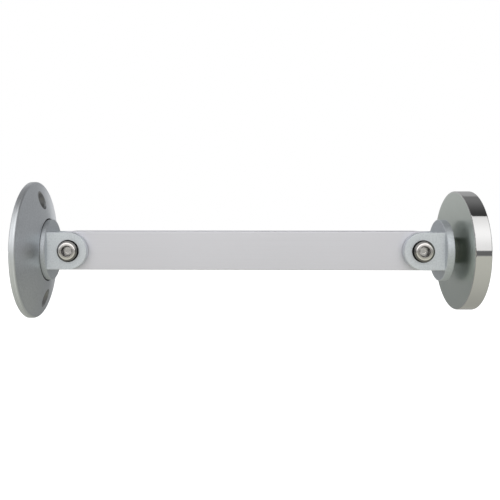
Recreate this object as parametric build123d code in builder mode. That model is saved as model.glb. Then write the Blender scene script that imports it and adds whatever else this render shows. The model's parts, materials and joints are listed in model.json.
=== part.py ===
from build123d import *
import os

# Ladder stabilizer: a wall flange, a swivelling fork, a bar, a second fork and the ladder's disc.
# Millimetres. The origin is the centre of the flange's back face, which lies on the wall.
# +X runs out along the bar to the ladder, +Y to the rear of the forks, +Z up.

# Driving dimensions: wall flange
FLANGE_R = 45.0            # outer radius
FLANGE_RIM_T = 2.7         # straight part of the rim
FLANGE_SHOULDER_R = 43.2   # radius where the rounded rim meets the domed face
FLANGE_SHOULDER_X = 4.1
FLANGE_SHOULDER_FULL = 0.7 # the rounding's middle point lies at this share of its run
FLANGE_CROWN_X = 10.9      # height of the dome at the edge of the recess
FLANGE_CROWN_BULGE = 0.25  # how far the dome stands above a straight cone, half way
FLANGE_EDGE = 0.4          # small bevel at the wall side and round the recess
RECESS_R = 20.5            # seat of the fork's round base
RECESS_FLOOR_X = 8.55
WALL_SCREW_PCD = 66.0      # two countersunk holes for the wall screws
WALL_SCREW_HOLE_R = 3.0
WALL_SCREW_SINK_R = 6.0
WALL_SCREW_SINK_X = 7.2
WALL_SCREW_TURN = 6.0      # the pair of holes is turned this many degrees towards the front
CENTRE_THREAD_DEPTH = 7.4  # blind tapped hole for the swivel screw

# Driving dimensions: forks, both alike
BASE_R = 20.0
BASE_T = 4.8
PIVOT_RISE = 18.6          # from the back of the base to the pivot pin
EAR_HALF_H = 12.0          # half height of an ear, and the radius of its round end
EAR_T = 5.0
EAR_OUTER_Y = 15.7
EAR_ROOT = 1.0             # the ears start this far above the base's back, inside the base
EAR_EDGE_R = 0.45
BASE_EDGE = 0.4
SPOTFACE_R = 7.0           # round seat of the screw's head in the front ear
SPOTFACE_DEPTH = 1.7
NUT_POCKET_DEPTH = 3.0     # hexagonal seat of the nut in the rear ear

# Driving dimensions: bar, a rectangular tube with a machined plug in each end
BAR_H = 25.0
BAR_W = 20.0
BAR_WALL = 2.0
BAR_CORNER_R = 0.5
PIVOT_SPAN = 226.0         # pin to pin
PLUG_LENGTH = 42.0         # from the pin to the plug's inner end
PLUG_EDGE = 0.6
BUSH_R = 5.5

# Driving dimensions: fasteners
M8_R = 4.0
M8_HEAD_R = 6.5
M8_HEAD_H = 5.0            # low head
M8_HEAD_FLAT_R = 5.1       # the head's edge is bevelled from this radius
M8_HEAD_BEVEL_H = 1.1
M8_SOCKET_AF = 6.0
M8_SOCKET_DEPTH = 3.2
M8_SOCKET_BEVEL = 0.45
M8_LENGTH = 35.0
M8_TIP = 0.8               # bevel at the end of the thread
M8_NUT_AF = 13.0
M8_NUT_HEX_H = 6.3
M8_NUT_H = 8.0
M8_NUT_CORNER_R = 7.45     # the hexagon's corners are turned down to this radius
M8_NUT_COLLAR_R = 6.0
M8_NUT_COLLAR_EDGE_R = 0.5
M6_R = 3.0
M6_HEAD_R = 6.0
M6_SOCKET_AF = 4.0
M6_SOCKET_DEPTH = 2.3
M6_LENGTH = 12.0
INSERT_R = 5.1             # outer radius of the nut's nylon ring
INSERT_H = 1.4

# Driving dimensions: ladder disc with its neck
DISC_R = 38.5
DISC_T = 10.0
DISC_EDGE_R = 0.6
NECK_R = 6.0
SLEEVE_R = 8.5             # plastic sleeve round the neck, which the fork turns against
LADDER_THREAD_R = 4.0      # M8 for the ladder's own bolt
LADDER_THREAD_DEPTH = 7.0
LADDER_THREAD_BEVEL = 0.5
NECK_THREAD_SPARE = 0.4    # the tapped hole runs this far past the swivel screw's tip

# Fits
RUN = 0.05                 # radial clearance of a turning fit
FREE = 0.2                 # radial clearance of a hole that a screw only passes
SEAT_GAP = 0.05            # between a swivel washer or sleeve and the fork that turns on it
SWIVEL_WASHER_T = 0.5
WALL_WASHER_R = 19.5
PIVOT_WASHER_T = 0.6
PIVOT_WASHER_R = 11.0
DISC_GAP = 5.3             # from the ladder fork's base to the disc

# Worked out
WALL_SEAT_X = RECESS_FLOOR_X + SWIVEL_WASHER_T + SEAT_GAP
WALL_PIVOT_X = WALL_SEAT_X + PIVOT_RISE
LADDER_PIVOT_X = WALL_PIVOT_X + PIVOT_SPAN
LADDER_SEAT_X = LADDER_PIVOT_X + PIVOT_RISE
DISC_X = LADDER_SEAT_X + DISC_GAP
BAR_MIDDLE_X = (WALL_PIVOT_X + LADDER_PIVOT_X) / 2
EAR_INNER_Y = EAR_OUTER_Y - EAR_T

# The two seats: origin on the back of a fork's base, local z towards the bar, local x to the rear.
WALL_SEAT = Plane(origin=(WALL_SEAT_X, 0, 0), x_dir=(0, 1, 0), z_dir=(1, 0, 0))
LADDER_SEAT = Plane(origin=(LADDER_SEAT_X, 0, 0), x_dir=(0, 1, 0), z_dir=(-1, 0, 0))

os.makedirs("parts", exist_ok=True)


def save(part, name):
    """Label a finished piece and write it as its own STEP file."""
    part.label = name
    export_step(part, f"parts/{name}.step")


def pivot_plane(seat, across):
    """Plane square to the pivot pin, with its origin on the pin, across mm behind the bar's middle."""
    return Plane(
        origin=seat.from_local_coords((across, 0, PIVOT_RISE)),
        x_dir=seat.z_dir,
        z_dir=seat.x_dir,
    )


# Wall flange: a turned rosette with a recess for the fork and a blind tapped hole in its centre.
def make_wall_flange():
    shoulder_run = FLANGE_SHOULDER_X - FLANGE_RIM_T
    shoulder_drop = FLANGE_R - FLANGE_SHOULDER_R
    shoulder_mid = (
        FLANGE_RIM_T + FLANGE_SHOULDER_FULL * shoulder_run,
        FLANGE_R - (1 - FLANGE_SHOULDER_FULL) * shoulder_drop,
    )
    shoulder_end = (FLANGE_SHOULDER_X, FLANGE_SHOULDER_R)
    crown_end = (FLANGE_CROWN_X, RECESS_R + FLANGE_EDGE)
    crown_mid = (
        (FLANGE_SHOULDER_X + FLANGE_CROWN_X) / 2 + FLANGE_CROWN_BULGE,
        (FLANGE_SHOULDER_R + RECESS_R) / 2,
    )
    with BuildPart() as flange:
        with BuildSketch(Plane.XZ):
            with BuildLine():
                Polyline(
                    (RECESS_FLOOR_X, 0),
                    (0, 0),
                    (0, FLANGE_R - FLANGE_EDGE),
                    (FLANGE_EDGE, FLANGE_R),
                    (FLANGE_RIM_T, FLANGE_R),
                )
                ThreePointArc((FLANGE_RIM_T, FLANGE_R), shoulder_mid, shoulder_end)
                ThreePointArc(shoulder_end, crown_mid, crown_end)
                Polyline(
                    crown_end,
                    (FLANGE_CROWN_X - FLANGE_EDGE, RECESS_R),
                    (RECESS_FLOOR_X, RECESS_R),
                    (RECESS_FLOOR_X, 0),
                )
            make_face()
        revolve(axis=Axis.X)
        with Locations(Plane(origin=(WALL_SCREW_SINK_X, 0, 0), x_dir=(0, 0, 1), z_dir=(1, 0, 0))):
            with PolarLocations(WALL_SCREW_PCD / 2, 2, start_angle=WALL_SCREW_TURN):
                CounterSinkHole(
                    WALL_SCREW_HOLE_R,
                    WALL_SCREW_SINK_R,
                    depth=FLANGE_CROWN_X,
                    counter_sink_angle=90,
                )
        with Locations(Plane(origin=(RECESS_FLOOR_X, 0, 0), x_dir=(0, 1, 0), z_dir=(1, 0, 0))):
            Hole(M6_R + RUN, depth=CENTRE_THREAD_DEPTH)
    return flange.part


# Fork: a round base with two ears, drilled for the pivot screw and countersunk for the swivel screw.
def make_fork(seat):
    run = PIVOT_RISE - EAR_ROOT
    with BuildPart() as fork:
        for start in (-EAR_OUTER_Y, EAR_INNER_Y):
            with BuildSketch(pivot_plane(seat, start)):
                Circle(EAR_HALF_H)
                with Locations((-run / 2, 0)):
                    Rectangle(run, 2 * EAR_HALF_H)
            extrude(amount=EAR_T)
        fillet(fork.faces().filter_by(Axis.Y).edges(), radius=EAR_EDGE_R)
        with BuildSketch(seat):
            Circle(BASE_R)
        extrude(amount=BASE_T)
        rims = fork.edges().filter_by(GeomType.CIRCLE).filter_by(lambda rim: rim.radius > BASE_R - 0.01)
        chamfer(rims, length=BASE_EDGE)
        with BuildSketch(pivot_plane(seat, -EAR_OUTER_Y)):
            Circle(M8_R + FREE)
        extrude(amount=2 * EAR_OUTER_Y, mode=Mode.SUBTRACT)
        with BuildSketch(pivot_plane(seat, -EAR_OUTER_Y)):
            Circle(SPOTFACE_R)
        extrude(amount=SPOTFACE_DEPTH, mode=Mode.SUBTRACT)
        with BuildSketch(pivot_plane(seat, EAR_OUTER_Y)):
            RegularPolygon(M8_NUT_AF / 2 + FREE / 2, 6, major_radius=False)
        extrude(amount=-NUT_POCKET_DEPTH, mode=Mode.SUBTRACT)
        with Locations(seat.offset(BASE_T)):
            CounterSinkHole(M6_R + RUN, M6_HEAD_R + 2 * RUN, depth=BASE_T, counter_sink_angle=90)
    return fork.part


# Pivot screw: a low-headed M8 socket screw, its head in the front ear's seat.
def make_pivot_screw(seat):
    under_head = SPOTFACE_DEPTH - EAR_OUTER_Y
    with BuildPart() as screw:
        with BuildSketch(pivot_plane(seat, under_head)):
            Circle(M8_HEAD_R)
        extrude(amount=-M8_HEAD_H)
        head_rim = screw.edges().group_by(Axis.Y)[0]
        head_top = screw.faces().sort_by(Axis.Y)[0]
        chamfer(head_rim, length=M8_HEAD_BEVEL_H, length2=M8_HEAD_R - M8_HEAD_FLAT_R, reference=head_top)
        with BuildSketch(pivot_plane(seat, under_head)):
            Circle(M8_R)
        extrude(amount=M8_LENGTH)
        chamfer(screw.edges().group_by(Axis.Y)[-1], length=M8_TIP)
        with BuildSketch(pivot_plane(seat, under_head - M8_HEAD_H)):
            RegularPolygon(M8_SOCKET_AF / 2, 6, major_radius=False)
        extrude(amount=M8_SOCKET_DEPTH, mode=Mode.SUBTRACT)
        with BuildSketch(pivot_plane(seat, under_head - M8_HEAD_H)):
            Circle(M8_SOCKET_AF / 2 + M8_SOCKET_BEVEL)
        extrude(amount=M8_SOCKET_BEVEL, taper=45, mode=Mode.SUBTRACT)
    return screw.part


# Pivot nut: an M8 lock nut whose collar holds a nylon ring.
def make_pivot_nut(seat):
    seat_y = EAR_OUTER_Y - NUT_POCKET_DEPTH
    with BuildPart() as nut:
        with BuildSketch(pivot_plane(seat, seat_y)):
            RegularPolygon(M8_NUT_AF / 2, 6, major_radius=False)
        extrude(amount=M8_NUT_HEX_H)
        with BuildSketch(pivot_plane(seat, seat_y)):
            Circle(M8_NUT_CORNER_R)
        extrude(amount=M8_NUT_HEX_H, mode=Mode.INTERSECT)
        with BuildSketch(pivot_plane(seat, seat_y + M8_NUT_HEX_H)):
            Circle(M8_NUT_COLLAR_R)
        extrude(amount=M8_NUT_H - M8_NUT_HEX_H)
        fillet(nut.edges().group_by(Axis.Y)[-1], radius=M8_NUT_COLLAR_EDGE_R)
        with BuildSketch(pivot_plane(seat, seat_y)):
            Circle(M8_R + RUN)
        extrude(amount=M8_NUT_H, mode=Mode.SUBTRACT)
        with BuildSketch(pivot_plane(seat, seat_y + M8_NUT_HEX_H)):
            Circle(INSERT_R + RUN)
        extrude(amount=M8_NUT_H, mode=Mode.SUBTRACT)
    return nut.part


def make_ring(plane, outer_r, inner_r, thickness):
    """Ring that stands on a plane: a washer, a bush, a sleeve or a nut's nylon ring."""
    with BuildPart() as ring:
        with BuildSketch(plane):
            Circle(outer_r)
            Circle(inner_r, mode=Mode.SUBTRACT)
        extrude(amount=thickness)
    return ring.part


# Swivel screw: an M6 countersunk screw through the fork's base, fixed in the flange or the neck.
def make_swivel_screw(seat):
    head_h = M6_HEAD_R - M6_R
    with BuildPart() as screw:
        with BuildSketch(seat.offset(BASE_T - M6_LENGTH)):
            Circle(M6_R)
        extrude(amount=M6_LENGTH)
        with BuildSketch(seat.offset(BASE_T - head_h)):
            Circle(M6_R)
        extrude(amount=head_h, taper=-45)
        with BuildSketch(seat.offset(BASE_T)):
            RegularPolygon(M6_SOCKET_AF / 2, 6, major_radius=False)
        extrude(amount=-M6_SOCKET_DEPTH, mode=Mode.SUBTRACT)
    return screw.part


# Bar tube: a drawn rectangular tube, its ends rounded about the pins so that it can fold square.
def make_bar_tube():
    half_length = PIVOT_SPAN / 2 + BAR_H / 2
    inner_w = BAR_W - 2 * BAR_WALL
    inner_h = BAR_H - 2 * BAR_WALL
    with BuildPart() as tube:
        with BuildSketch(Plane.YZ.offset(BAR_MIDDLE_X)):
            RectangleRounded(BAR_W, BAR_H, BAR_CORNER_R)
            RectangleRounded(inner_w, inner_h, BAR_CORNER_R / 2, mode=Mode.SUBTRACT)
        extrude(amount=half_length, both=True)
        with BuildSketch(Plane(origin=(BAR_MIDDLE_X, 0, 0), x_dir=(1, 0, 0), z_dir=(0, 1, 0))):
            SlotCenterToCenter(PIVOT_SPAN, BAR_H)
        extrude(amount=BAR_W, both=True, mode=Mode.INTERSECT)
        for seat in (WALL_SEAT, LADDER_SEAT):
            with BuildSketch(pivot_plane(seat, 0)):
                Circle(BUSH_R)
            extrude(amount=BAR_W, both=True, mode=Mode.SUBTRACT)
    return tube.part


# End plug: fills the tube's end and carries the bush.
def make_end_plug(seat):
    width = BAR_W - 2 * BAR_WALL - 2 * RUN
    height = BAR_H - 2 * BAR_WALL - 2 * RUN
    with BuildPart() as plug:
        with BuildSketch(pivot_plane(seat, 0)):
            Circle(BAR_H / 2)
            with Locations((PLUG_LENGTH / 2, 0)):
                Rectangle(PLUG_LENGTH, BAR_H)
        extrude(amount=width / 2, both=True)
        with BuildSketch(pivot_plane(seat, 0)):
            Rectangle(4 * PLUG_LENGTH, height)
        extrude(amount=width / 2, both=True, mode=Mode.INTERSECT)
        chamfer(plug.edges().filter_by(Axis.X), length=PLUG_EDGE)
        with BuildSketch(pivot_plane(seat, 0)):
            Circle(BUSH_R)
        extrude(amount=BAR_W, both=True, mode=Mode.SUBTRACT)
    return plug.part


# Ladder disc: a thick round pad with a short neck, tapped from both sides.
def make_ladder_disc():
    neck_x = LADDER_SEAT_X + 2 * SEAT_GAP
    outer_x = DISC_X + DISC_T
    with BuildPart() as disc:
        with BuildSketch(Plane.XZ):
            with BuildLine():
                Polyline(
                    (neck_x, 0),
                    (neck_x, NECK_R),
                    (DISC_X, NECK_R),
                    (DISC_X, DISC_R),
                    (outer_x, DISC_R),
                    (outer_x, 0),
                    close=True,
                )
            make_face()
        revolve(axis=Axis.X)
        rims = disc.edges().filter_by(GeomType.CIRCLE).filter_by(lambda rim: rim.radius > DISC_R - 0.01)
        fillet(rims, radius=DISC_EDGE_R)
        with BuildSketch(LADDER_SEAT.offset(BASE_T - M6_LENGTH - NECK_THREAD_SPARE)):
            Circle(M6_R + RUN)
        extrude(amount=M6_LENGTH, mode=Mode.SUBTRACT)
        with Locations(Plane(origin=(outer_x, 0, 0), x_dir=(0, 1, 0), z_dir=(1, 0, 0))):
            CounterSinkHole(
                LADDER_THREAD_R,
                LADDER_THREAD_R + LADDER_THREAD_BEVEL,
                depth=LADDER_THREAD_DEPTH,
                counter_sink_angle=90,
            )
    return disc.part


# Wall end: what is fixed to the wall.
save(make_wall_flange(), "wall_flange")
save(make_swivel_screw(WALL_SEAT), "wall_swivel_screw")
wall_floor = WALL_SEAT.offset(-SEAT_GAP - SWIVEL_WASHER_T)
save(make_ring(wall_floor, WALL_WASHER_R, M6_R + FREE, SWIVEL_WASHER_T), "wall_swivel_washer")

# The two knuckles, alike: a fork with the pivot screw, its nut and the friction washers.
for end, seat in (("wall", WALL_SEAT), ("ladder", LADDER_SEAT)):
    save(make_fork(seat), f"{end}_fork")
    save(make_pivot_screw(seat), f"{end}_pivot_screw")
    save(make_pivot_nut(seat), f"{end}_pivot_nut")
    insert_plane = pivot_plane(seat, EAR_OUTER_Y - NUT_POCKET_DEPTH + M8_NUT_HEX_H)
    save(make_ring(insert_plane, INSERT_R, M8_R + RUN, INSERT_H), f"{end}_nut_ring")
    front_plane = pivot_plane(seat, -EAR_INNER_Y)
    save(make_ring(front_plane, PIVOT_WASHER_R, M8_R + FREE, PIVOT_WASHER_T), f"{end}_front_washer")
    rear_plane = pivot_plane(seat, EAR_INNER_Y - PIVOT_WASHER_T)
    save(make_ring(rear_plane, PIVOT_WASHER_R, M8_R + FREE, PIVOT_WASHER_T), f"{end}_rear_washer")

# The bar with its plugs and bushes.
save(make_bar_tube(), "bar_tube")
for end, seat in (("wall", WALL_SEAT), ("ladder", LADDER_SEAT)):
    save(make_end_plug(seat), f"{end}_end_plug")
    save(make_ring(pivot_plane(seat, -BAR_W / 2), BUSH_R, M8_R + RUN, BAR_W), f"{end}_pivot_bush")

# Ladder end: what is bolted to the ladder.
save(make_ladder_disc(), "ladder_disc")
save(make_swivel_screw(LADDER_SEAT), "ladder_swivel_screw")
sleeve_end = LADDER_SEAT.offset(-DISC_GAP)
save(make_ring(sleeve_end, SLEEVE_R, NECK_R + RUN, DISC_GAP - SEAT_GAP), "ladder_swivel_sleeve")
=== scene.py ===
# %% [markdown]
# # A ladder stabilizer in the studio
# The real object is a short stay between a wall and a ladder: a round flange, a fork that swivels on
# it, a bar that folds on a socket screw, a second fork, and a thick steel disc. The sizes and the joints
# come from the CAD model, which is loaded here as a fixed frame. This file gives each metal its
# finish, cuts real threads on the screws, and sets up the light, the floor and the camera.

# %% Load the frame
import json
import math

import bpy
import bmesh
from mathutils import Matrix, Vector

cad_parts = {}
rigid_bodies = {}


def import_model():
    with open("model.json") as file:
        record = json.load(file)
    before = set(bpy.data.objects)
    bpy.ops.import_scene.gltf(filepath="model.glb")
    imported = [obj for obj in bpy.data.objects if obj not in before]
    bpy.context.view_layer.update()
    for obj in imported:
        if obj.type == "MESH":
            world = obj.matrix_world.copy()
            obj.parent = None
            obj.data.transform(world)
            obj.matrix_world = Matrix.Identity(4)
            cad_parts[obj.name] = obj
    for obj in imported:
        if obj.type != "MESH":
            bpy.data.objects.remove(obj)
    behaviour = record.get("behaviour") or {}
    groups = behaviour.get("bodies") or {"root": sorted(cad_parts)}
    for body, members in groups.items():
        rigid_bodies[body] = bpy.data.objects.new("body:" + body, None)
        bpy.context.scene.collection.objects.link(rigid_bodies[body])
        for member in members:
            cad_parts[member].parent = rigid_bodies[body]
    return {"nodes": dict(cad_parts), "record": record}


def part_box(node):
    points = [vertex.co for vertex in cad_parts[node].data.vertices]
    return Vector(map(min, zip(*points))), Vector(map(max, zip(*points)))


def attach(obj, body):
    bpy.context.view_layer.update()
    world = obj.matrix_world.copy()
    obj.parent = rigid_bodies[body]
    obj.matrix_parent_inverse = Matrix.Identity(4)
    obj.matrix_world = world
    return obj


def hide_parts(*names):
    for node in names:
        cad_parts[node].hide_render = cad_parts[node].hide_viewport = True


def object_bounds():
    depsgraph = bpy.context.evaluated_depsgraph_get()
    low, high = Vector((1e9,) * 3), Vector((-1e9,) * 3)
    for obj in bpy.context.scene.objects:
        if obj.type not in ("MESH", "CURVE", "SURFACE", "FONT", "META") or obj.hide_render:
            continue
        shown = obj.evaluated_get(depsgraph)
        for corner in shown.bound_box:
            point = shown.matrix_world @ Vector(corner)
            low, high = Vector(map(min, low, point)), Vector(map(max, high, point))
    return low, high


for leftover in list(bpy.data.objects):
    bpy.data.objects.remove(leftover)

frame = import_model()
cad_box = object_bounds()
nodes = frame["nodes"]
MM = 0.001
print("nodes:", len(nodes), "box in mm:", [[round(v / MM, 1) for v in corner] for corner in cad_box])


# %% [markdown]
# ## Shader maths as plain Python
# A node tree for a metal finish is mostly arithmetic: a radius, an angle, a noise, and a mix of them.
# Wired by hand that is dozens of Math nodes. A small class that wraps one socket lets the same sums be
# written as expressions, and one method makes every other kind of node.

# %% The socket class
class Wire:
    """One output socket. Sums and products of wires and numbers add Math nodes to its tree."""

    def __init__(self, tree, socket=None):
        self.tree = tree
        self.socket = socket

    def node(self, kind, settings=None, inputs=None, out=0):
        """Adds a node: settings are set first, then each input gets a number, a colour or a wire."""
        made = self.tree.nodes.new(kind)
        for name, value in (settings or {}).items():
            setattr(made, name, value)
        for name, value in (inputs or {}).items():
            if isinstance(value, Wire):
                self.tree.links.new(value.socket, made.inputs[name])
            else:
                made.inputs[name].default_value = value
        return Wire(self.tree, made.outputs[out])

    def math(self, operation, *values):
        return self.node("ShaderNodeMath", {"operation": operation}, dict(enumerate(values)))

    def __add__(self, other):
        return self.math("ADD", self, other)

    def __radd__(self, other):
        return self.math("ADD", other, self)

    def __sub__(self, other):
        return self.math("SUBTRACT", self, other)

    def __rsub__(self, other):
        return self.math("SUBTRACT", other, self)

    def __mul__(self, other):
        return self.math("MULTIPLY", self, other)

    def __rmul__(self, other):
        return self.math("MULTIPLY", other, self)

    def __neg__(self):
        return self.math("MULTIPLY", self, -1)

    def rise(self, low, high):
        """0 below low, 1 above high, and a smooth step between them."""
        inputs = {"Value": self, "From Min": low, "From Max": high}
        return self.node("ShaderNodeMapRange", {"interpolation_type": "SMOOTHSTEP"}, inputs)

    def noise(self, scale, detail=2, roughness=0.5):
        """Noise from 0 to 1 at the place that this wire gives."""
        inputs = {"Vector": self, "Scale": scale, "Detail": detail, "Roughness": roughness}
        return self.node("ShaderNodeTexNoise", {"normalize": True}, inputs)

    def blend(self, low_colour, high_colour):
        """Colour from low to high as this wire goes from 0 to 1."""
        inputs = {"Factor": self, 6: low_colour, 7: high_colour}
        return self.node("ShaderNodeMix", {"data_type": "RGBA"}, inputs, out=2)


# %% Helpers that every finish uses
def grey(level, warm=0.0, blue=0.0):
    """A near-grey colour: warm above 0 leans to yellow, below 0 to blue, and blue adds blue alone."""
    return (level * (1 + warm), level, level * (1 - warm + blue), 1)


def new_finish(name):
    """An empty material, its Principled shader, and the wire of Object coordinates."""
    finish = bpy.data.materials.new(name)
    finish.use_nodes = True
    shader = finish.node_tree.nodes["Principled BSDF"]
    place = Wire(finish.node_tree).node("ShaderNodeTexCoord", out="Object")
    return finish, shader, place


def plug_in(shader, wires):
    """Links wires to the shader's inputs, or sets plain numbers on them."""
    for name, value in wires.items():
        if isinstance(value, Wire):
            value.tree.links.new(value.socket, shader.inputs[name])
        else:
            shader.inputs[name].default_value = value


def split(place):
    """The x, y and z wires of a place."""
    return [place.node("ShaderNodeSeparateXYZ", inputs={0: place}, out=axis) for axis in range(3)]


def join(place, x, y, z):
    """A place put together from x, y and z, each a wire or a number."""
    return place.node("ShaderNodeCombineXYZ", inputs={0: x, 1: y, 2: z})


def around_bar_axis(place):
    """x along the bar's axis, the radius from it and the angle round it."""
    x, y, z = split(place)
    radius = place.math("SQRT", y * y + z * z)
    angle = place.math("ARCTAN2", z, y)
    return x, radius, angle


PIN_X = [sum(corner[0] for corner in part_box(f"{end}_pivot_screw")) / 2 for end in ("wall", "ladder")]


def from_nearest_pin(place):
    """y along the two pivot pins, and the radius from the nearer of them."""
    x, y, z = split(place)
    reaches = [place.math("SQRT", (x - pin_x) * (x - pin_x) + z * z) for pin_x in PIN_X]
    return y, place.math("MINIMUM", *reaches)


def relief(height, depth, strength=1.0):
    """Normal from a height of 0 to 1 that stands for depth metres."""
    return height.node("ShaderNodeBump", inputs={"Strength": strength, "Distance": depth, "Height": height})


# %% [markdown]
# ## The flange: turned aluminium
# The real flange is faced on a lathe. The tool leaves very fine rings on the dome and on the back, and
# the rim is brushed, with streaks that run round it. Both are noise stretched in ring coordinates: it
# changes fast with the radius (or with x on the rim) and slowly with the angle. A third noise, the tooth,
# has no direction and keeps both from looking combed. Where the flange sees little light, in its two
# screw holes and in the recess for the fork, shade is painted into its colour.

# %% Turned aluminium
RIM_START_X, RIM_END_X = 2.8 * MM, 4.2 * MM   # the rim's brushing fades into the dome's rings here
BACK_X = 0.03 * MM        # nearer to the wall than this is the flat back
RECESS_R = 20.5 * MM      # inside this radius lies the fork's seat, with painted shade
RECESS_FLOOR_X = 8.5 * MM # the recess lies in front of this
FLANGE_FRONT_X = 10.9 * MM
RING_LINES, STREAK_LINES, TOOTH_GRAINS = 1400, 2600, 850   # noise cells to a metre
RING_SPREAD, STREAK_SPREAD = 0.9, 1.3         # noise cells to a radian, for long marks
FLANGE_CLOUDS = 22        # noise cells to a metre, the uneven tone of the whole piece
HOLE_SINK_R = 6.0 * MM    # the two countersunk holes for the wall screws
HOLE_TURN = math.radians(6)   # the holes' line leans by this from upright
HOLE_REACH = 33 * MM      # from the bar's axis to each hole
HOLE_Y, HOLE_Z = HOLE_REACH * math.sin(HOLE_TURN), HOLE_REACH * math.cos(HOLE_TURN)
WALL_HOLES = [(-HOLE_Y, HOLE_Z), (HOLE_Y, -HOLE_Z)]


def turned_aluminium():
    finish, shader, place = new_finish("turned_aluminium")
    x, radius, angle = around_bar_axis(place)
    on_front = x.rise(RIM_START_X, RIM_END_X)
    on_back = 1 - x.rise(BACK_X, BACK_X + 0.05 * MM)
    on_face = place.math("MAXIMUM", on_front, on_back)
    rings = join(place, radius * RING_LINES, angle * RING_SPREAD, 0).noise(1.0, detail=4, roughness=0.6)
    streaks = join(place, x * STREAK_LINES, angle * STREAK_SPREAD, 3).noise(1.0, detail=4, roughness=0.65)
    cloud = place.noise(FLANGE_CLOUDS, detail=3)
    tooth = place.noise(TOOTH_GRAINS, detail=2, roughness=0.6).rise(0.3, 0.7)
    grain = on_face * rings + (1 - on_face) * streaks
    tone = 0.40 * grain + 0.30 * cloud + 0.30 * tooth
    colour = tone.blend(grey(0.54, -0.04), grey(0.76, -0.035))
    rim_colour = streaks.rise(0.25, 0.75).blend(grey(0.62, -0.03), grey(1.0, -0.025))
    # painted shade: the recess for the fork is near black
    inside = 1 - radius.rise(RECESS_R, RECESS_R + 0.35 * MM)
    recess_painted_shade = inside * x.rise(RECESS_FLOOR_X - MM, RECESS_FLOOR_X)
    y, z = split(place)[1:]
    # painted shade: the insides of the two countersunk wall-screw holes are darker
    to_holes = [place.math("SQRT", (y - a) * (y - a) + (z - b) * (z - b)) for a, b in WALL_HOLES]
    hole_painted_shade = 1 - place.math("MINIMUM", *to_holes).rise(HOLE_SINK_R - 0.3 * MM, HOLE_SINK_R + 0.2 * MM)
    bright = hole_painted_shade.blend(on_face.blend(rim_colour, colour), grey(0.30))
    shown = recess_painted_shade.blend(bright, grey(0.10))
    plug_in(shader, {
        "Base Color": shown,
        "Metallic": 1.0,
        "Roughness": 0.40 - 0.10 * on_face + 0.10 * grain,
        "Normal": relief(0.6 * grain + 0.4 * tooth, 0.02 * MM, 0.6),
    })
    return finish


# %% [markdown]
# ## The forks: bead-blasted aluminium
# Blasting leaves a dense field of tiny dimples with no direction, so the forks look even and slightly
# frosted. Three noises do it: one at the size of a dimple, one coarse enough to be seen from a distance,
# and one broad and faint for the uneven blast. Two places that light hardly reaches get painted shade: the
# part of the wall fork's base that sits down in the flange's recess, and the seat of each screw's head. The
# rest of the wall fork's base, and the ladder fork's base between its ears and its edge, get a lighter
# painted shade.

# %% Blasted aluminium
DIMPLES, SPECKS, BLAST_CLOUDS = 3200, 950, 60    # noise cells to a metre
HEAD_SEAT_R = 7.0 * MM    # round seat of a pivot screw's head in its fork, with painted shade
BASE_T = 4.9 * MM         # just more than the thickness of a fork's base
BASE_FACE_R = 19.5 * MM   # inside this radius the ladder fork's base is its face, not its edge
WALL_BASE_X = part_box("wall_fork")[0][0] + BASE_T
LADDER_BASE_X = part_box("ladder_fork")[1][0] - BASE_T


def blasted_aluminium():
    finish, shader, place = new_finish("blasted_aluminium")
    dimples = place.noise(DIMPLES, detail=3, roughness=0.7)
    specks = place.noise(SPECKS, detail=2, roughness=0.6).rise(0.3, 0.7)
    cloud = place.noise(BLAST_CLOUDS, detail=2)
    tone = 0.30 * dimples + 0.40 * specks + 0.30 * cloud
    x, y, z = split(place)
    # painted shade: near black where the wall fork's base sits in the flange's recess and in each screw
    # head's seat
    seated = 1 - x.rise(FLANGE_FRONT_X - 0.4 * MM, FLANGE_FRONT_X + 0.2 * MM)
    pin_radius = from_nearest_pin(place)[1]
    round_head = 1 - pin_radius.rise(HEAD_SEAT_R, HEAD_SEAT_R + 0.2 * MM)
    shaded = place.math("MAXIMUM", seated, round_head)
    # lighter painted shade on the rest of the wall fork's base and on the ladder fork's base face
    near_flange = 1 - x.rise(WALL_BASE_X, WALL_BASE_X + 0.4 * MM)
    bar_radius = place.math("SQRT", y * y + z * z)
    on_base_face = x.rise(LADDER_BASE_X - 0.2 * MM, LADDER_BASE_X)
    on_base_face = on_base_face * (1 - bar_radius.rise(BASE_FACE_R, BASE_FACE_R + 0.1 * MM))
    painted_base_shade = place.math("MAXIMUM", near_flange, on_base_face)
    pale = tone.blend(grey(0.72, -0.045), grey(0.93, -0.035))
    shaded_blast = tone.blend(grey(0.61, -0.045), grey(0.79, -0.035))
    blasted = painted_base_shade.blend(pale, shaded_blast)
    plug_in(shader, {
        "Base Color": shaded.blend(blasted, grey(0.07)),
        "Metallic": 1.0,
        "Roughness": 0.50 + 0.12 * dimples,
        "Normal": relief(0.6 * dimples + 0.4 * specks, 0.02 * MM, 0.7),
    })
    return finish


# %% [markdown]
# ## The bar: satin anodised aluminium
# A drawn tube has faint lines along its length from the die, and the anodising makes it an even,
# silky grey. The lines are noise that changes fast across the bar and hardly at all along it.

# %% Anodised aluminium
DIE_LINES, DIE_LINE_SPREAD, FROST_GRAINS, BAR_CLOUDS = 1500, 9, 2600, 14   # noise cells to a metre


def anodised_aluminium():
    finish, shader, place = new_finish("anodised_aluminium")
    x, y, z = split(place)
    lines = join(place, x * DIE_LINE_SPREAD, y * DIE_LINES, z * DIE_LINES).noise(1.0, detail=4, roughness=0.6)
    frost = place.noise(FROST_GRAINS, detail=2)
    cloud = place.noise(BAR_CLOUDS, detail=2)
    tone = 0.45 * lines + 0.2 * frost + 0.35 * cloud
    plug_in(shader, {
        "Base Color": tone.blend(grey(0.80, 0.01, 0.06), grey(0.89, 0.01, 0.06)),
        "Metallic": 1.0,
        "Roughness": 0.50 + 0.08 * frost,
        "Normal": relief(0.7 * lines + 0.3 * frost, 0.008 * MM, 0.5),
    })
    return finish
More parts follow.
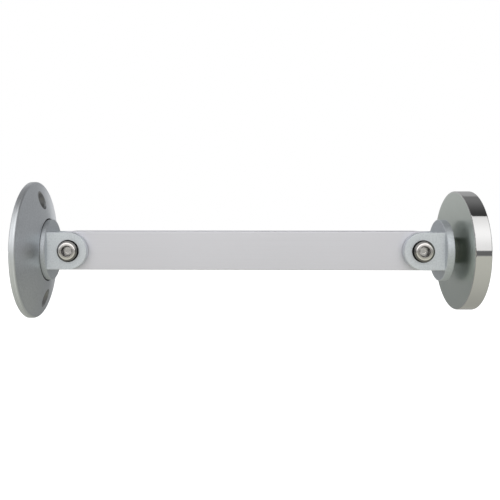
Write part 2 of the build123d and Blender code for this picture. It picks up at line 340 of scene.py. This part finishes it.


# %% [markdown]
# ## The steel: screws, nuts, bushes and the disc
# The screws are polished stainless steel, a little warm in tone. The disc's faces are polished less
# than its rim, so they blur what they mirror, and the rim is close to a true mirror. One function makes
# the small parts, with its own tone and polish for each. The disc has a function of its own, and so do the
# two pivot screws, whose heads get painted shade in the socket, on the bevel and on the side, a painted
# bright socket floor and a painted highlight ring round the top.

# %% Small steel parts
HAZE_CLOUDS, SCRATCH_LINES = 420, 2400           # noise cells to a metre


def small_steel(name, level, warm, roughness, scratch):
    finish, shader, place = new_finish(name)
    haze = place.noise(HAZE_CLOUDS, detail=3)
    lines = place.noise(SCRATCH_LINES, detail=4, roughness=0.7)
    plug_in(shader, {
        "Base Color": haze.blend(grey(level * 0.86, warm * 1.4), grey(level * 1.06, warm)),
        "Metallic": 1.0,
        "Roughness": roughness + scratch * lines + 0.05 * haze,
        "Normal": relief(lines, 0.006 * MM, 0.5),
    })
    return finish


# %% The pivot screws, whose heads are seen close up
SOCKET_R = 3.75 * MM      # just outside the hexagon socket and its bevel
M8_FLAT_R = 5.1 * MM      # the head's flat top ends here in an edge with a painted highlight ring, and its bevel begins
M8_HEAD_H = 5 * MM        # beyond this height the shank begins
HEAD_SIDE_R = 6.35 * MM   # from here out is the head's side, with painted shade
MOUTH_DEPTH = 2.0 * MM    # the socket's walls get painted shade down to here
SOCKET_FLOOR_R = 2.6 * MM # and its floor gets painted shade outside this radius
HEAD_RING_LINES = 2600    # noise cells to a metre


def turned_screw_steel():
    """Steel with painted shade in its socket, on its bevel and on its side, a painted bright socket floor and
    a painted highlight ring round the top.
    """
    finish, shader, place = new_finish("turned_screw_steel")
    y, radius = from_nearest_pin(place)
    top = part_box("wall_pivot_screw")[0][1]
    depth = y - top
    in_head = 1 - depth.rise(M8_HEAD_H - 0.1 * MM, M8_HEAD_H + 0.1 * MM)
    in_socket = (1 - radius.rise(SOCKET_R, SOCKET_R + 0.1 * MM)) * depth.rise(0.02 * MM, 0.08 * MM)
    # painted shade: the socket's walls are near black down to MOUTH_DEPTH
    mouth = in_socket * (1 - depth.rise(MOUTH_DEPTH, MOUTH_DEPTH + 0.2 * MM))
    below = in_socket * depth.rise(MOUTH_DEPTH, MOUTH_DEPTH + 0.2 * MM) * in_head
    # painted shade on the bevel, and a painted highlight ring on the edge round the flat top
    bevel = radius.rise(M8_FLAT_R + 0.1 * MM, M8_FLAT_R + 0.35 * MM)
    edge = radius.rise(M8_FLAT_R - 0.45 * MM, M8_FLAT_R - 0.15 * MM) * (1 - bevel)
    # painted shade on the head's side
    side = radius.rise(HEAD_SIDE_R, HEAD_SIDE_R + 0.1 * MM)
    haze = place.noise(HAZE_CLOUDS, detail=3)
    rings = join(place, radius * HEAD_RING_LINES, 0, 5).noise(1.0, detail=4, roughness=0.6)
    tone = 0.5 * haze + 0.5 * rings
    steel = tone.blend(grey(0.56, 0.05), grey(0.82, 0.04))
    steel = (bevel * in_head).blend(steel, grey(0.22, 0.03))
    steel = (edge * in_head).blend(steel, grey(0.93, 0.03))
    # painted light: the socket's floor is near white
    steel = below.blend(steel, grey(0.97, 0.03))
    # painted shade: a darker ring round the edge of the socket's floor
    floor_edge = 0.8 * below * radius.rise(SOCKET_FLOOR_R, SOCKET_FLOOR_R + 0.3 * MM)
    dark = place.math("MAXIMUM", place.math("MAXIMUM", mouth, floor_edge), side * in_head)
    plug_in(shader, {
        "Base Color": dark.blend(steel, grey(0.05, 0.06)),
        "Metallic": 1.0,
        "Roughness": 0.16 + 0.10 * rings,
        "Normal": relief(rings, 0.006 * MM, 0.5),
    })
    return finish


# %% The disc
DISC_EDGE_R = 37.8 * MM   # beyond this radius the surface is the mirror rim
POLISH_LINES, SMUDGES = 1700, 90     # noise cells to a metre
POLISH_SPREAD = 1.1       # noise cells to a radian


def polished_disc_steel():
    finish, shader, place = new_finish("polished_disc_steel")
    x, radius, angle = around_bar_axis(place)
    on_rim = radius.rise(DISC_EDGE_R - 0.2 * MM, DISC_EDGE_R + 0.2 * MM)
    ring_place = join(place, radius * POLISH_LINES, angle * POLISH_SPREAD, x * POLISH_LINES)
    rings = ring_place.noise(1.0, detail=4, roughness=0.6)
    smudge = place.noise(SMUDGES, detail=4, roughness=0.6)
    face_colour = smudge.blend((0.60, 0.645, 0.595, 1), (0.66, 0.70, 0.65, 1))
    rim_colour = smudge.blend(grey(0.66, 0.008), grey(0.70, 0.012))
    face_roughness = 0.25 + 0.04 * smudge + 0.04 * rings
    rim_roughness = 0.035 + 0.03 * smudge
    plug_in(shader, {
        "Base Color": on_rim.blend(face_colour, rim_colour),
        "Metallic": 1.0,
        "Roughness": on_rim * rim_roughness + (1 - on_rim) * face_roughness,
        "Normal": relief(rings * (1 - on_rim), 0.004 * MM, 0.5),
    })
    return finish


# %% [markdown]
# ## The plastics: acetal washers and the nuts' nylon rings
# Both are plain moulded or turned plastics. They differ from the metals by having a soft surface
# sheen over a solid colour, with a faint mould grain.

# %% Plastics
MOULD_GRAINS, MOULD_CLOUDS = 2200, 160           # noise cells to a metre


def moulded_plastic(name, dark, light, roughness):
    finish, shader, place = new_finish(name)
    grain = place.noise(MOULD_GRAINS, detail=3)
    cloud = place.noise(MOULD_CLOUDS, detail=2)
    plug_in(shader, {
        "Base Color": (0.5 * grain + 0.5 * cloud).blend(dark, light),
        "Metallic": 0.0,
        "Roughness": roughness + 0.12 * grain,
        "Normal": relief(grain, 0.02 * MM, 0.5),
    })
    return finish


# %% [markdown]
# ## Put each finish on its parts
# The record already says which material slot each CAD node uses, so one finish is made for each slot
# and laid on every node of that slot. The meshes stay as they are.

# %% Dress the CAD nodes
finishes = {
    "flange_aluminium": turned_aluminium(),
    "fork_aluminium": blasted_aluminium(),
    "bar_aluminium": anodised_aluminium(),
    "screw_steel": small_steel("polished_screw_steel", 0.70, 0.04, 0.17, 0.06),
    "nut_steel": small_steel("nut_steel", 0.58, 0.01, 0.22, 0.10),
    "bush_steel": small_steel("bush_steel", 0.50, 0.0, 0.28, 0.12),
    "disc_steel": polished_disc_steel(),
    "washer_plastic": moulded_plastic("dark_acetal", (0.085, 0.10, 0.08, 1), (0.13, 0.15, 0.125, 1), 0.25),
    "nut_nylon": moulded_plastic("natural_nylon", grey(0.62, 0.03), grey(0.78, 0.02), 0.38),
}
slot_of = {row["node"]: row["material_slot"] for row in frame["record"]["subparts"]}
for name, node in nodes.items():
    node.data.materials.clear()
    node.data.materials.append(finishes[slot_of[name]])
print("finishes:", len(finishes), "nodes dressed:", len(nodes))


# %% [markdown]
# ## Screws with real threads
# A thread is one groove that follows a helix, so it is made by rule: Geometry Nodes take a flat grid,
# wrap it round a cylinder, and pull the radius in and out with the distance along the helix. At both
# ends the groove fades out, so the first ring is a plain circle that meets the screw's shank.

# %% The thread as a node tree
COLUMNS = 72              # points round every screw, head and thread alike
GROOVE_FLANKS = 1.15      # above 1, the crest between two grooves has a flat top
GROOVE_DEPTH = 0.55       # of the pitch
TIP_LENGTH = 0.7          # of the pitch
ROWS_PER_TURN = 12


def thread_tree():
    tree = bpy.data.node_groups.new("thread", "GeometryNodeTree")
    face = tree.interface
    for name in ("Radius", "Pitch", "Length", "Depth", "Tip"):
        face.new_socket(name, in_out="INPUT", socket_type="NodeSocketFloat")
    face.new_socket("Rows", in_out="INPUT", socket_type="NodeSocketInt")
    face.new_socket("Material", in_out="INPUT", socket_type="NodeSocketMaterial")
    face.new_socket("Geometry", in_out="OUTPUT", socket_type="NodeSocketGeometry")
    given = tree.nodes.new("NodeGroupInput")

    def value(name):
        return Wire(tree, given.outputs[name])

    start = Wire(tree)
    grid_inputs = {"Size X": 1.0, "Size Y": 1.0, "Vertices X": COLUMNS + 1, "Vertices Y": value("Rows")}
    grid = start.node("GeometryNodeMeshGrid", inputs=grid_inputs)
    u, v, _ = split(start.node("GeometryNodeInputPosition"))
    turn = u + 0.5
    along = (v + 0.5) * value("Length")
    phase = start.math("FRACT", start.math("DIVIDE", along, value("Pitch")) - turn)
    groove = 2 * start.math("ABSOLUTE", phase - 0.5)
    crest = start.math("MINIMUM", groove * GROOVE_FLANKS, 1.0)
    fade_in = start.math("DIVIDE", along, value("Pitch")).rise(0.0, 1.0)
    left = value("Length") - along
    fade_out = start.math("DIVIDE", left, value("Tip")).rise(0.0, 1.0)
    cut = (1 - crest) * value("Depth") * fade_in * fade_out
    tip = (1 - fade_out) * value("Depth")
    radius = value("Radius") - cut - tip
    angle = turn * (2 * math.pi)
    wrapped = join(start, radius * start.math("COSINE", angle), radius * start.math("SINE", angle), along)
    shell = start.node("GeometryNodeSetPosition", inputs={"Geometry": grid, "Position": wrapped})
    disk = start.node("GeometryNodeMeshCircle", {"fill_type": "NGON"},
                      {"Vertices": COLUMNS, "Radius": value("Radius") - value("Depth")})
    lift = join(start, 0.0, 0.0, value("Length"))
    cap = start.node("GeometryNodeSetPosition", inputs={"Geometry": disk, "Offset": lift})
    both = tree.nodes.new("GeometryNodeJoinGeometry")
    tree.links.new(shell.socket, both.inputs[0])
    tree.links.new(cap.socket, both.inputs[0])
    welded = start.node("GeometryNodeMergeByDistance",
                        inputs={"Geometry": Wire(tree, both.outputs[0]), "Distance": 0.0005 * MM})
    real = start.node("GeometryNodeRealizeInstances", inputs={"Geometry": welded})
    painted = start.node("GeometryNodeSetMaterial", inputs={"Geometry": real, "Material": value("Material")})
    end = tree.nodes.new("NodeGroupOutput")
    tree.links.new(painted.socket, end.inputs["Geometry"])
    return tree


THREAD = thread_tree()


def thread_mesh(radius, pitch, length, material):
    """Plain mesh of a thread along +Z from the origin, open at the start and capped at its tip."""
    carrier = bpy.data.objects.new("thread_carrier", bpy.data.meshes.new("thread_carrier"))
    bpy.context.scene.collection.objects.link(carrier)
    modifier = carrier.modifiers.new("thread", "NODES")
    modifier.node_group = THREAD
    sizes = {"Radius": radius, "Pitch": pitch, "Length": length, "Depth": GROOVE_DEPTH * pitch,
             "Tip": TIP_LENGTH * pitch, "Rows": int(length / pitch * ROWS_PER_TURN) + 1, "Material": material}
    for item in THREAD.interface.items_tree:
        if item.in_out == "INPUT":
            modifier[item.identifier] = sizes[item.name]
    evaluated = carrier.evaluated_get(bpy.context.evaluated_depsgraph_get())
    mesh = bpy.data.meshes.new_from_object(evaluated)
    bpy.data.objects.remove(carrier)
    return mesh


# %% [markdown]
# ## The screws' heads and shanks
# Head, socket and shank are rings of points laid along the screw and joined by quads, like a lathe.
# A ring may be a circle or a hexagon, so the same rule also cuts the hexagon socket. The last
# ring of the shank has the same points as the thread's first ring, and the two are welded.

# %% Rings joined into a skin
def hexagon(across_flats):
    """Radius at each angle of a hexagon of that width across its flats."""
    step = math.pi / 3
    return lambda angle: across_flats / 2 / math.cos((angle + step / 2) % step - step / 2)


def ring_skin(rings):
    """Open tube through rings of (height, radius), closed by a point at the first ring."""
    skin = bmesh.new()
    loops = []
    for height, radius in rings[1:]:
        loop = []
        for column in range(COLUMNS):
            angle = 2 * math.pi * column / COLUMNS
            r = radius(angle) if callable(radius) else radius
            loop.append(skin.verts.new((r * math.cos(angle), r * math.sin(angle), height)))
        loops.append(loop)
    pole = skin.verts.new((0, 0, rings[0][0]))
    for column in range(COLUMNS):
        after = (column + 1) % COLUMNS
        skin.faces.new((pole, loops[0][column], loops[0][after]))
        for low, high in zip(loops, loops[1:]):
            skin.faces.new((low[column], high[column], high[after], low[after]))
    return skin


# %% One screw: head and shank, then its thread
SHARP_ANGLE = math.radians(32)    # edges that bend more than this stay crisp


def make_screw(name, rings, thread, place, body, replaced, finish):
    """Welds head, shank and thread, moves them to their place, and rides them on a body."""
    radius, pitch, length = thread
    skin = ring_skin(rings)
    start = rings[-1][0]
    threaded = thread_mesh(radius, pitch, length, finish)
    threaded.transform(Matrix.Translation((0, 0, start)))
    skin.from_mesh(threaded)
    bmesh.ops.remove_doubles(skin, verts=skin.verts, dist=0.001 * MM)
    bmesh.ops.recalc_face_normals(skin, faces=skin.faces)
    mesh = bpy.data.meshes.new(name)
    skin.to_mesh(mesh)
    skin.free()
    mesh.transform(place)
    mesh.shade_smooth()
    mesh.set_sharp_from_angle(angle=SHARP_ANGLE)
    mesh.materials.append(finish)
    piece = bpy.data.objects.new(name, mesh)
    bpy.context.scene.collection.objects.link(piece)
    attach(piece, body)
    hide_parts(replaced)
    print(name, "faces:", len(mesh.polygons))


# %% The two pivot screws
M8_R, M8_HEAD_R, M8_LENGTH = 4 * MM, 6.5 * MM, 35 * MM
M8_PITCH, M8_THREADED = 1.25 * MM, 22 * MM
M8_BEVEL_H = 1.1 * MM
M8_SOCKET_AF, M8_SOCKET_DEPTH = 6 * MM, 3.2 * MM
M8_SOCKET_BEVEL = 0.45 * MM
PILOT_R, PILOT_DEPTH = 1.5 * MM, 0.4 * MM
EDGE = 0.12 * MM          # the small roundness of every turned edge
SOCKET_TURNS = {"wall": math.radians(-8), "ladder": math.radians(8)}


def pivot_screw_rings():
    """Low-headed screw from the bottom of its socket, round the head and down to the plain shank's end."""
    socket = hexagon(M8_SOCKET_AF)
    pilot_z = M8_SOCKET_DEPTH + PILOT_DEPTH
    rings = [(pilot_z, 0), (pilot_z, PILOT_R - EDGE), (M8_SOCKET_DEPTH, PILOT_R)]
    rings += [(M8_SOCKET_DEPTH, hexagon(M8_SOCKET_AF - 2 * EDGE)), (M8_SOCKET_DEPTH - EDGE, socket)]
    rings += [(M8_SOCKET_BEVEL + EDGE, socket), (M8_SOCKET_BEVEL, socket)]
    rings += [(0.0, M8_SOCKET_AF / 2 + M8_SOCKET_BEVEL), (0.0, M8_FLAT_R - EDGE)]
    rings += [(0.3 * EDGE, M8_FLAT_R), (M8_BEVEL_H - EDGE, M8_HEAD_R - 0.3 * EDGE)]
    rings += [(M8_BEVEL_H + EDGE, M8_HEAD_R), (M8_HEAD_H - EDGE, M8_HEAD_R), (M8_HEAD_H, M8_HEAD_R - EDGE)]
    rings += [(M8_HEAD_H, M8_R + 2 * EDGE), (M8_HEAD_H + 2 * EDGE, M8_R), (M8_HEAD_H + 3 * EDGE, M8_R)]
    rings += [(M8_HEAD_H + M8_LENGTH - M8_THREADED, M8_R)]
    return rings


pivot_finish = turned_screw_steel()
for end in ("wall", "ladder"):
    low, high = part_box(f"{end}_pivot_screw")
    centre_x = (low[0] + high[0]) / 2
    along_pin = Matrix.Rotation(-math.pi / 2, 4, "X") @ Matrix.Rotation(SOCKET_TURNS[end], 4, "Z")
    to_pivot = Matrix.Translation((centre_x, low[1], 0)) @ along_pin
    make_screw(f"{end}_pivot_screw_threaded", pivot_screw_rings(), (M8_R, M8_PITCH, M8_THREADED),
               to_pivot, f"{end}_knuckle", f"{end}_pivot_screw", pivot_finish)


# %% The two swivel screws
M6_R, M6_HEAD_R, M6_LENGTH = 3 * MM, 6 * MM, 12 * MM
M6_PITCH, M6_THREADED = 1.0 * MM, 7 * MM
M6_SOCKET_AF, M6_SOCKET_DEPTH = 4 * MM, 2.3 * MM
M6_SOCKET_CONE = 0.2 * MM # the socket's floor is a shallow cone
M6_SOCKET_BEVEL = 0.25 * MM
M6_MOUTH_R = 2.45 * MM
M6_EDGE = 0.15 * MM


def swivel_screw_rings():
    """Countersunk screw from the bottom of its socket to the end of the plain shank."""
    socket = hexagon(M6_SOCKET_AF)
    rings = [(M6_SOCKET_DEPTH + M6_SOCKET_CONE, 0), (M6_SOCKET_DEPTH, hexagon(M6_SOCKET_AF - 0.1 * MM))]
    rings += [(M6_SOCKET_DEPTH - 0.1 * MM, socket), (M6_SOCKET_BEVEL, socket), (0.0, M6_MOUTH_R)]
    rings += [(0.0, M6_HEAD_R - 2 * M6_EDGE), (M6_EDGE, M6_HEAD_R - M6_EDGE)]
    rings += [(M6_HEAD_R - M6_R, M6_R), (M6_LENGTH - M6_THREADED, M6_R)]
    return rings


for end, body, facing in (("wall", "wall_plate", 1), ("ladder", "ladder_pad", -1)):
    low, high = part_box(f"{end}_swivel_screw")
    head_x = high[0] if facing > 0 else low[0]
    to_swivel = Matrix.Translation((head_x, 0, 0)) @ Matrix.Rotation(-facing * math.pi / 2, 4, "Y")
    make_screw(f"{end}_swivel_screw_threaded", swivel_screw_rings(), (M6_R, M6_PITCH, M6_THREADED),
               to_swivel, body, f"{end}_swivel_screw", finishes["screw_steel"])


# %% [markdown]
# ## Floor
# The object floats in the light of a studio: a pale floor lies well below it. Near the object the
# floor takes a soft shadow, and further out it fades into the white backdrop, so no horizon shows.

# %% The floor
FLOOR_DROP = 320 * MM     # below the object's lowest point at rest, so that the folded bar clears it
FLOOR_HALF = 6.0          # half the floor's width, metres
FADE_START, FADE_END = 0.12, 0.34     # metres from the middle, where the floor turns to pure white
NEAR_GLOW, FAR_GLOW = 0.62, 1.02


def pale_floor():
    finish = bpy.data.materials.new("pale_floor")
    finish.use_nodes = True
    shader = finish.node_tree.nodes["Principled BSDF"]
    place = Wire(finish.node_tree).node("ShaderNodeTexCoord", out="Object")
    distance = place.node("ShaderNodeVectorMath", {"operation": "LENGTH"}, {0: place}, out="Value")
    far = distance.rise(FADE_START, FADE_END)
    plug_in(shader, {
        "Base Color": grey(0.8),
        "Roughness": 0.9,
        "Emission Color": far.blend(grey(NEAR_GLOW), grey(FAR_GLOW)),
        "Emission Strength": 1.0,
    })
    return finish


floor_z = cad_box[0][2] - FLOOR_DROP
middle_x = (cad_box[0][0] + cad_box[1][0]) / 2
floor_mesh = bpy.data.meshes.new("floor")
corners = [(FLOOR_HALF * a, FLOOR_HALF * b, 0) for a, b in ((-1, -1), (1, -1), (1, 1), (-1, 1))]
floor_mesh.from_pydata(corners, [], [(0, 1, 2, 3)])
floor_mesh.materials.append(pale_floor())
floor = bpy.data.objects.new("floor", floor_mesh)
floor.location = (middle_x, 0, floor_z)
floor.visible_glossy = False
bpy.context.scene.collection.objects.link(floor)


# %% [markdown]
# ## Light
# Polished metal shows its surroundings more than its own colour, so the surroundings are set out like
# a product table: one large softbox in front and above, a dark ceiling, a dull grey room behind and
# a warm pale table below. The softbox is a lamp, and the rest is the world. The world is mostly
# written in one angle: how far a direction is tipped up from straight in front, in degrees, so
# that 90 is overhead, -90 is straight down and 180 is behind. The two ends of the bar see a side level
# of their own, and a small bright patch lies straight behind.

# %% The softbox
AIM = Vector((middle_x, 0, 0))


def area_lamp(name, azimuth, elevation, distance, width, height, radiance):
    """A soft lamp that faces the object. Azimuth 0 is in front of it, 90 to its right."""
    a, e = math.radians(azimuth), math.radians(elevation)
    away = Vector((math.sin(a) * math.cos(e), -math.cos(a) * math.cos(e), math.sin(e)))
    lamp = bpy.data.lights.new(name, "AREA")
    lamp.shape = "RECTANGLE"
    lamp.size, lamp.size_y = width, height
    lamp.energy = math.pi * width * height * radiance
    holder = bpy.data.objects.new(name, lamp)
    holder.location = AIM + distance * away
    holder.rotation_euler = away.to_track_quat("Z", "Y").to_euler()
    holder.visible_camera = False
    bpy.context.scene.collection.objects.link(holder)


area_lamp("front_softbox", azimuth=0, elevation=36, distance=1.1, width=2.0, height=1.46, radiance=0.80)


# %% The room around it
CEILING_FRONT, CEILING_BACK = (66, 71), (126, 136)    # each edge goes from its first angle to its second
GAP_TOP, TABLE_TOP = (0, 2), (-9, -6)         # a dark gap parts the table from the front wall
TABLE_BACK = (-165, -150)
FRONT_LEVEL, FRONT_RISE = 0.28, 0.25          # at the front wall's edges, and how much its middle adds
CEILING_LEVEL, CEILING_RISE = 0.055, 0.16     # at its front, and how much it gains towards its back
TABLE_LEVEL, TABLE_FALL = 0.62, 0.21          # near the object, and how much its far parts lose
BEHIND_TOP_LEVEL, BEHIND_LEFT_RISE = 0.43, 0.16
SIDE_LEVEL, SIDE_LEFT_RISE = 0.36, 0.07
GAP_LEVEL, BEHIND_LOW_LEVEL, BRIGHT_PATCH_LEVEL = 0.17, 0.28, 0.60


def studio_world():
    world = bpy.data.worlds.new("studio")
    world.use_nodes = True
    tree = world.node_tree
    tree.nodes.clear()
    start = Wire(tree)
    x, y, z = split(start.node("ShaderNodeTexCoord", out="Generated"))
    tip = start.math("ARCTAN2", z, -y) * (180 / math.pi)
    front = tip.rise(*GAP_TOP) * (1 - tip.rise(*CEILING_FRONT))
    ceiling = tip.rise(*CEILING_FRONT) * (1 - tip.rise(*CEILING_BACK))
    gap = tip.rise(*TABLE_TOP) * (1 - tip.rise(*GAP_TOP))
    table = tip.rise(*TABLE_BACK) * (1 - tip.rise(*TABLE_TOP))
    behind_top = tip.rise(*CEILING_BACK)
    behind_low = 1 - tip.rise(*TABLE_BACK)
    middle = tip.rise(4, 35) * (1 - tip.rise(35, 68))
    far_table = 1 - tip.rise(-140, -12)
    to_the_back = tip.rise(72, 120)
    behind_left = 1 - x.rise(-0.25, 0.0)
    level = front * (FRONT_LEVEL + FRONT_RISE * middle) + gap * GAP_LEVEL
    level = level + ceiling * (CEILING_LEVEL + CEILING_RISE * to_the_back)
    level = level + table * (TABLE_LEVEL - TABLE_FALL * far_table) + behind_low * BEHIND_LOW_LEVEL
    level = level + behind_top * (BEHIND_TOP_LEVEL + BEHIND_LEFT_RISE * behind_left)
    to_side = start.math("ABSOLUTE", x).rise(0.72, 0.97)
    side_level = SIDE_LEVEL + SIDE_LEFT_RISE * z.rise(-0.1, 0.3) * (1 - x.rise(-0.1, 0.1))
    level = level * (1 - to_side) + side_level * to_side
    level = level + BRIGHT_PATCH_LEVEL * y.rise(0.972, 0.992)
    warm = table.blend(grey(1.0, -0.01), (1.0, 1.01, 0.91, 1))
    room = start.node("ShaderNodeBackground", inputs={"Color": warm, "Strength": level})
    seen = start.node("ShaderNodeBackground", inputs={"Color": grey(1.0), "Strength": 1.0})
    to_camera = start.node("ShaderNodeLightPath", out="Is Camera Ray")
    mixed = start.node("ShaderNodeMixShader", inputs={0: to_camera, 1: room, 2: seen})
    end = tree.nodes.new("ShaderNodeOutputWorld")
    tree.links.new(mixed.socket, end.inputs["Surface"])
    return world


bpy.context.scene.world = studio_world()
bpy.context.scene.view_settings.view_transform = "Standard"


# %% [markdown]
# ## Camera
# The camera stands close, a little above the bar and just left of its middle, so that both discs turn
# their inner faces to it. It is kept level, and the picture is framed with a small shift.

# %% The camera
CAMERA_PLACE = (136.5 * MM, -407.6 * MM, 23.2 * MM)
CAMERA_TURN = 0.027       # radians to the left
LENS_MM = 44.37
SHIFT_X, SHIFT_Y = 0.058, -0.0705

camera = bpy.data.objects.new("camera", bpy.data.cameras.new("camera"))
camera.location = CAMERA_PLACE
camera.rotation_euler = (math.pi / 2, 0, CAMERA_TURN)
camera.data.lens = LENS_MM
camera.data.shift_x = SHIFT_X
camera.data.shift_y = SHIFT_Y
bpy.context.scene.collection.objects.link(camera)
bpy.context.scene.camera = camera
